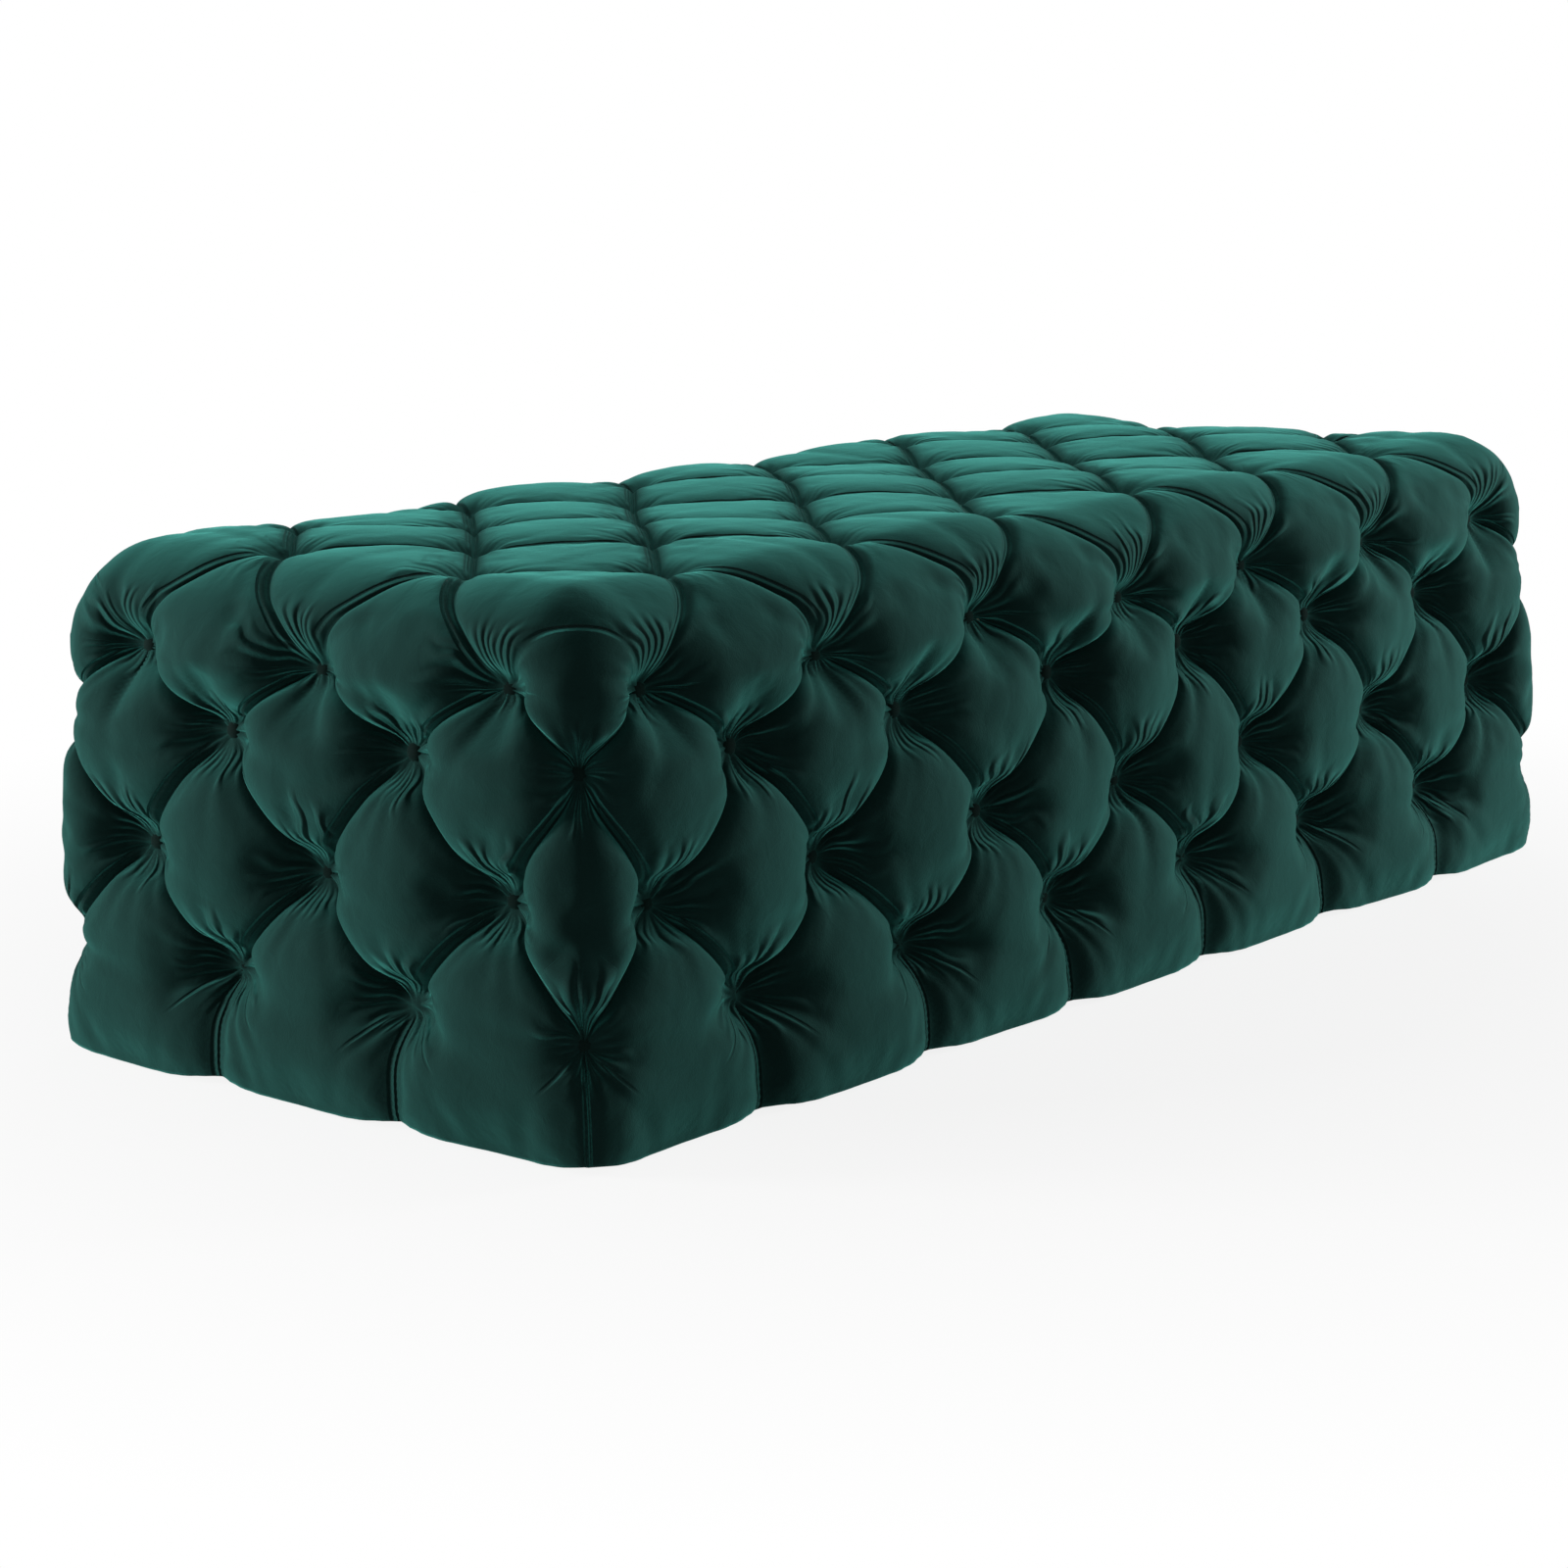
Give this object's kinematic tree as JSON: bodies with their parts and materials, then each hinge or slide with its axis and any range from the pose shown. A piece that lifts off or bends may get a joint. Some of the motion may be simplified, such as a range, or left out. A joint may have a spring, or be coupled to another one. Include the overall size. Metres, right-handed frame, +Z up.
{
  "type": "tufted bench",
  "caption": "Long closed upholstered bench in dark green velvet, deep diamond-tufted with covered buttons on the seat and on every side, standing on low glides.",
  "frame": {"origin": "centre of the footprint on the floor", "axes": "+X along the length, +Y towards the rear long side, +Z up"},
  "size_m": [1.536, 0.664, 0.445],
  "materials": {
    "velvet": "short-pile velvet with a soft sheen",
    "button_velvet": "short-pile velvet drawn over a button",
    "foam": null,
    "twine": "waxed tufting twine",
    "softwood": "planed softwood, unfinished",
    "plywood": "plywood, unfinished",
    "dust_cloth": "black non-woven dust cloth",
    "glide_plastic": "black moulded plastic"
  },
  "bodies": {
    "root": {"corner_buttons": "button_velvet", "dust_cover": "dust_cloth", "front_bottom_rail": "softwood", "front_buttons": "button_velvet", "front_cover": "velvet", "front_foam": "foam", "front_left_mid_post": "softwood", "front_left_post": "softwood", "front_lower_slat": "softwood", "front_right_mid_post": "softwood", "front_right_post": "softwood", "front_top_rail": "softwood", "front_twine": "twine", "front_upper_slat": "softwood", "glides": "glide_plastic", "left_bottom_rail": "softwood", "left_cross_rail": "softwood", "left_end_buttons": "button_velvet", "left_end_cover": "velvet", "left_end_foam": "foam", "left_end_twine": "twine", "left_lower_slat": "softwood", "left_seat_bearer": "softwood", "left_top_rail": "softwood", "left_upper_slat": "softwood", "rear_bottom_rail": "softwood", "rear_buttons": "button_velvet", "rear_cover": "velvet", "rear_foam": "foam", "rear_left_mid_post": "softwood", "rear_left_post": "softwood", "rear_lower_slat": "softwood", "rear_right_mid_post": "softwood", "rear_right_post": "softwood", "rear_top_rail": "softwood", "rear_twine": "twine", "rear_upper_slat": "softwood", "right_bottom_rail": "softwood", "right_cross_rail": "softwood", "right_end_buttons": "button_velvet", "right_end_cover": "velvet", "right_end_foam": "foam", "right_end_twine": "twine", "right_lower_slat": "softwood", "right_seat_bearer": "softwood", "right_top_rail": "softwood", "right_upper_slat": "softwood", "seat_buttons": "button_velvet", "seat_cover": "velvet", "seat_foam": "foam", "seat_slats": "plywood", "seat_twine": "twine"}
  },
  "joints": []
}
